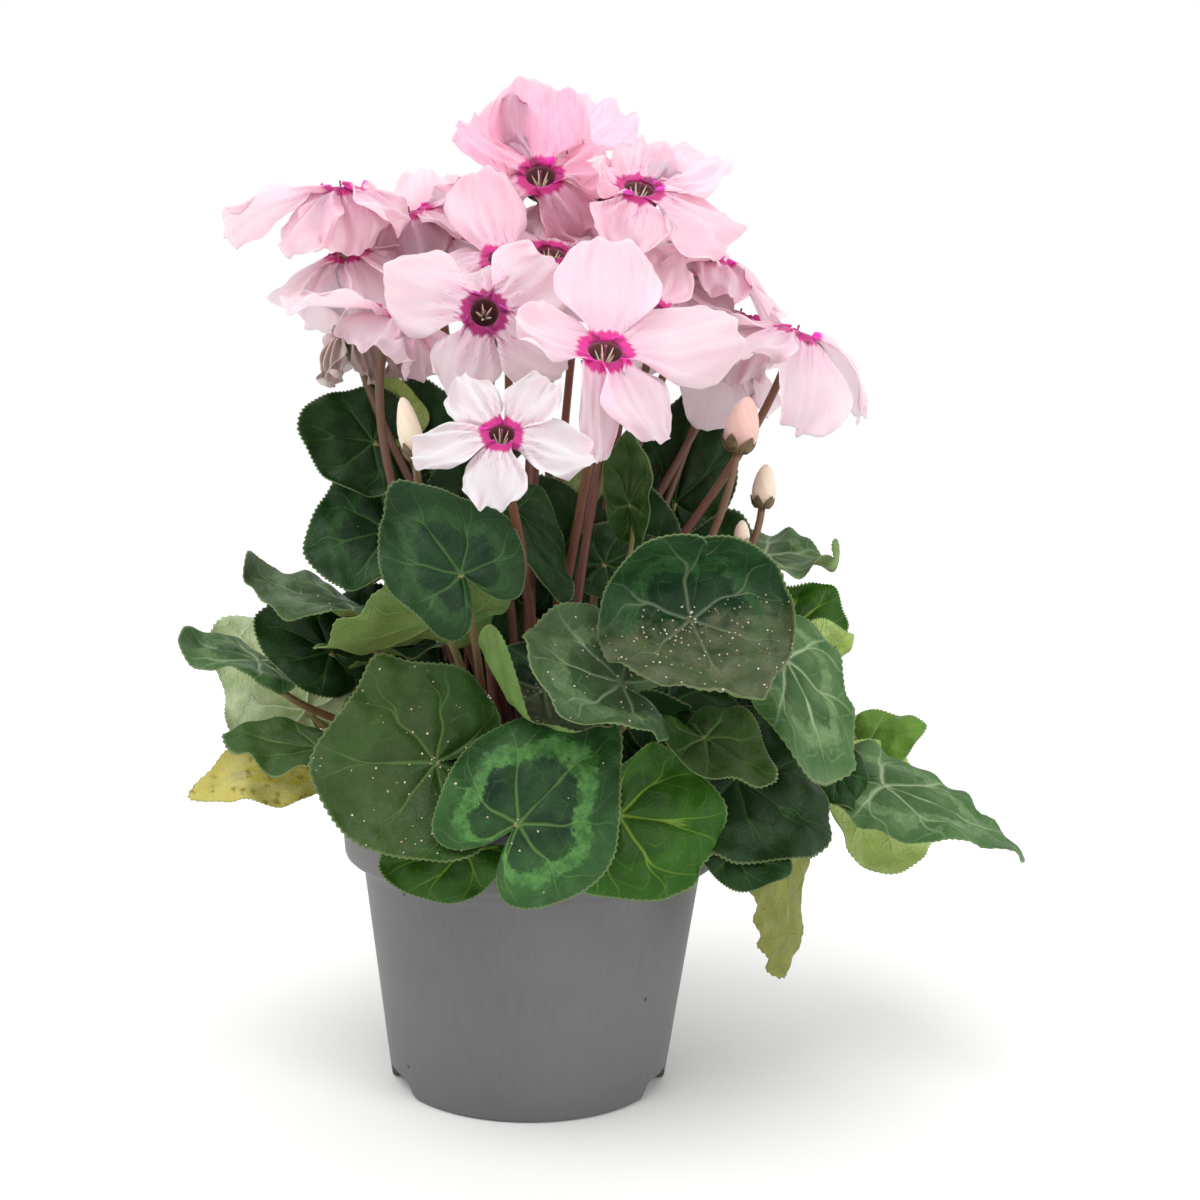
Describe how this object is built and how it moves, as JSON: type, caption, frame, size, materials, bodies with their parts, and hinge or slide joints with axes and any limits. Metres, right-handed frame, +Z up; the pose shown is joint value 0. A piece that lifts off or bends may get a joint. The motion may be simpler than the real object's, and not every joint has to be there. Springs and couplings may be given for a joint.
{
  "type": "potted cyclamen",
  "caption": "Florist's cyclamen in flower: heart-shaped marbled leaves and pink upswept blooms on upright stalks, rooted by a tuber in a tapered grey nursery pot.",
  "frame": {"origin": "centre of the pot's base, on the surface that it stands on", "axes": "+Z up the pot's axis; -Y towards the side the picture shows; +X to that viewer's right"},
  "size_m": [0.257, 0.1962, 0.3158],
  "materials": {
    "pot": "satin grey injection-moulded polypropylene",
    "soil": "crumbly dark brown peat mix",
    "tuber": "rough brown corky skin",
    "leaf": "satin dark green, some with a silvery-green band, on a reddish-brown stalk",
    "yellow_leaf": "dull yellow with brown spots",
    "flower": "soft matt pink petals, magenta at the mouth, on a reddish-brown stalk",
    "wilted_flower": "dry mauve-brown petals",
    "bud": "matt cream, pink at the seams"
  },
  "bodies": {
    "root": {"bud_left": "bud", "bud_pink": "bud", "bud_right": "bud", "bud_small": "bud", "flower_behind_mid": "flower", "flower_behind_top": "flower", "flower_front": "flower", "flower_left_back": "flower", "flower_left_high": "flower", "flower_left_inner": "flower", "flower_left_low": "flower", "flower_low_white": "flower", "flower_mid_left": "flower", "flower_right_back": "flower", "flower_right_high": "flower", "flower_right_inner": "flower", "flower_right_low": "flower", "flower_top": "flower", "flower_upper_right": "flower", "flower_wilted": "wilted_flower", "leaf_back_high": "leaf", "leaf_back_left_low": "leaf", "leaf_back_left_mid": "leaf", "leaf_back_low": "leaf", "leaf_back_mid": "leaf", "leaf_back_right_low": "leaf", "leaf_back_right_mid": "leaf", "leaf_centre_back_dark": "leaf", "leaf_centre_back_round": "leaf", "leaf_centre_bowl": "leaf", "leaf_front_left_big": "leaf", "leaf_front_low_left": "leaf", "leaf_front_marbled": "leaf", "leaf_front_right_bright": "leaf", "leaf_left_dark_small": "leaf", "leaf_left_far_tip": "leaf", "leaf_left_level": "leaf", "leaf_left_low": "leaf", "leaf_left_mid_marbled": "leaf", "leaf_left_pale": "leaf", "leaf_left_turned": "leaf", "leaf_left_upper_high": "leaf", "leaf_left_upper_low": "leaf", "leaf_left_yellow": "yellow_leaf", "leaf_mid_right_big": "leaf", "leaf_mid_variegated": "leaf", "leaf_right_back_small": "leaf", "leaf_right_far_bright": "leaf", "leaf_right_far_tip": "leaf", "leaf_right_far_under": "leaf", "leaf_right_hanging": "leaf", "leaf_right_low_dark": "leaf", "leaf_right_mid": "leaf", "leaf_right_small": "leaf", "leaf_right_top": "leaf", "leaf_upper_right_dark": "leaf", "pot": "pot", "potting_soil": "soil", "tuber": "tuber"}
  },
  "joints": []
}
